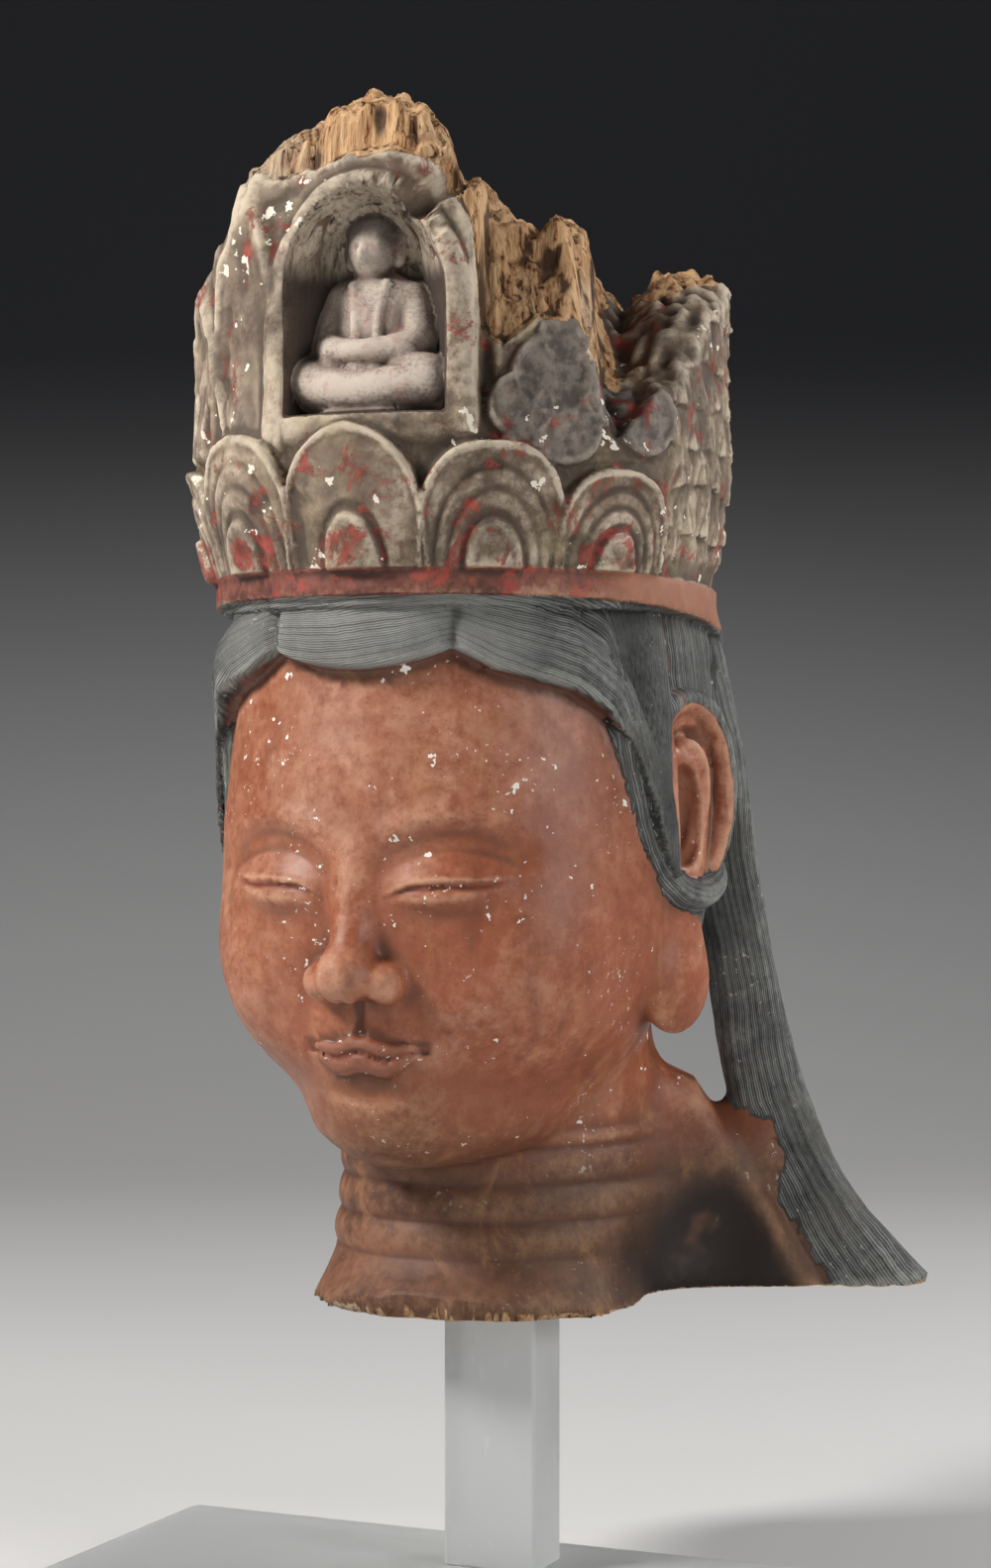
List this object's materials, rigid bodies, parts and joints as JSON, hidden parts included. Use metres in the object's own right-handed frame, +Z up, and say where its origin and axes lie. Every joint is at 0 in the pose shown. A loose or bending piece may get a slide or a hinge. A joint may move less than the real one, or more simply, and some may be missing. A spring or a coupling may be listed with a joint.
{
  "type": "carved wooden bodhisattva head on a stand",
  "caption": "Carved wooden head of a crowned bodhisattva with a niche figure, long ears and one long tress, held up by an acrylic post on a flat acrylic base.",
  "frame": {"origin": "middle of the underside of the base plate", "axes": "+Z up; the face looks along -Y; the wearer's left ear and the long tress are on the +X side"},
  "size_m": [0.39, 0.3275, 0.6819],
  "materials": {
    "carved_wood": "worn red-brown lacquer on the face, dark hair, grey gesso on the crown, raw split wood at the top",
    "post_acrylic": "frosted acrylic",
    "base_acrylic": "frosted acrylic"
  },
  "bodies": {
    "root": {"head": "carved_wood", "post": "post_acrylic", "base": "base_acrylic"}
  },
  "joints": []
}
